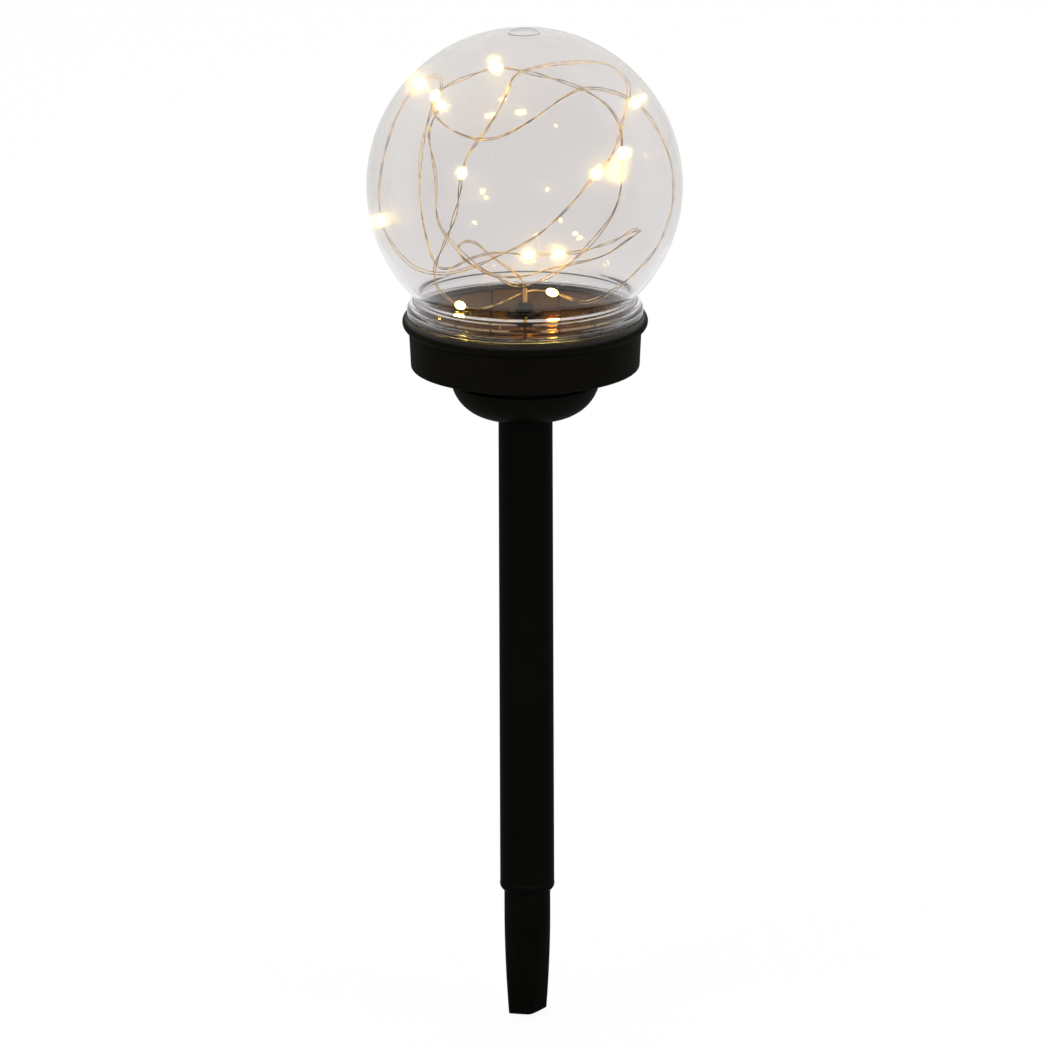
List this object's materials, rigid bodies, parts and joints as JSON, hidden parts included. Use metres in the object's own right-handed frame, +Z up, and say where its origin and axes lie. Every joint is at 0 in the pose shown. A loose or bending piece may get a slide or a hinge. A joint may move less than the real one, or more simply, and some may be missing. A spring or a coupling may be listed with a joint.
{
  "type": "solar spike light",
  "caption": "Solar garden spike light: clear ball with a looped copper wire string of warm lights, black cup with a solar panel and slide switch, black pole and push-in ground spike.",
  "frame": {"origin": "on the pole's axis at the ground line, where the pole's lower end sits on the spike's collar", "axes": "+Z up along the pole to the ball; +X to the right and -Y towards the viewer of the picture"},
  "size_m": [0.12, 0.12, 0.3856],
  "materials": {
    "black_plastic": "smooth satin, near black",
    "clear_plastic": "clear, polished",
    "clear_epoxy": "clear, polished",
    "panel_black": "dark board",
    "silicon": "dark brown to violet, glossy",
    "copper_wire": "bare copper, thin lacquer",
    "glowing_drop": "clear drop, warm light inside",
    "led_chip": "warm white",
    "pale_sleeve": "off white",
    "seal_rubber": "matte",
    "screw_steel": "zinc plated",
    "contact_metal": "nickel plated",
    "cell_steel": "plain steel can",
    "cell_wrap": "shrink wrap, unmarked",
    "circuit_green": "solder mask",
    "chip_black": "moulded package",
    "coil_body": "coated coil",
    "capacitor_can": "sleeved can",
    "switch_metal": "pressed frame",
    "lead_insulation": "insulated lead"
  },
  "bodies": {
    "spike": {"ground_spike": "black_plastic"},
    "pole": {"pole_tube": "black_plastic"},
    "head": {"pole_adapter": "black_plastic", "housing_cup": "black_plastic", "deck_seal": "seal_rubber", "panel_deck": "black_plastic", "panel_board": "panel_black", "solar_cells": "silicon", "panel_cover": "clear_epoxy", "wire_grommet": "black_plastic", "wire_sleeve": "pale_sleeve", "light_string_wire": "copper_wire", "light_chips": "led_chip", "light_beads": "glowing_drop", "battery_holder": "black_plastic", "battery_cell": "cell_steel", "battery_wrapper": "cell_wrap", "battery_cap": "cell_steel", "contact_plate": "contact_metal", "contact_spring": "contact_metal", "circuit_board": "circuit_green", "driver_chip": "chip_black", "boost_inductor": "coil_body", "board_capacitor": "capacitor_can", "switch_body": "switch_metal", "string_leads": "copper_wire", "panel_leads": "lead_insulation", "battery_leads": "lead_insulation", "housing_screws": "screw_steel", "adapter_screws": "screw_steel", "board_screws": "screw_steel"},
    "ball": {"globe": "clear_plastic"},
    "switch_knob": {"switch_slider": "black_plastic"}
  },
  "joints": [
    {"name": "spike_pull", "type": "slide", "parent": "spike", "child": "pole", "axis": [0, 0, 1], "range_m": [0, 0.028]},
    {"name": "head_pull", "type": "slide", "parent": "pole", "child": "head", "axis": [0, 0, 1], "range_m": [0, 0.014]},
    {"name": "ball_twist", "type": "hinge", "parent": "head", "child": "ball", "pos_m": [0, 0, 0.2215], "axis": [0, 0, 1], "range_deg": [0, 25]},
    {"name": "switch_slide", "type": "slide", "parent": "head", "child": "switch_knob", "axis": [1, 0, 0], "range_m": [-0.002, 0]}
  ]
}
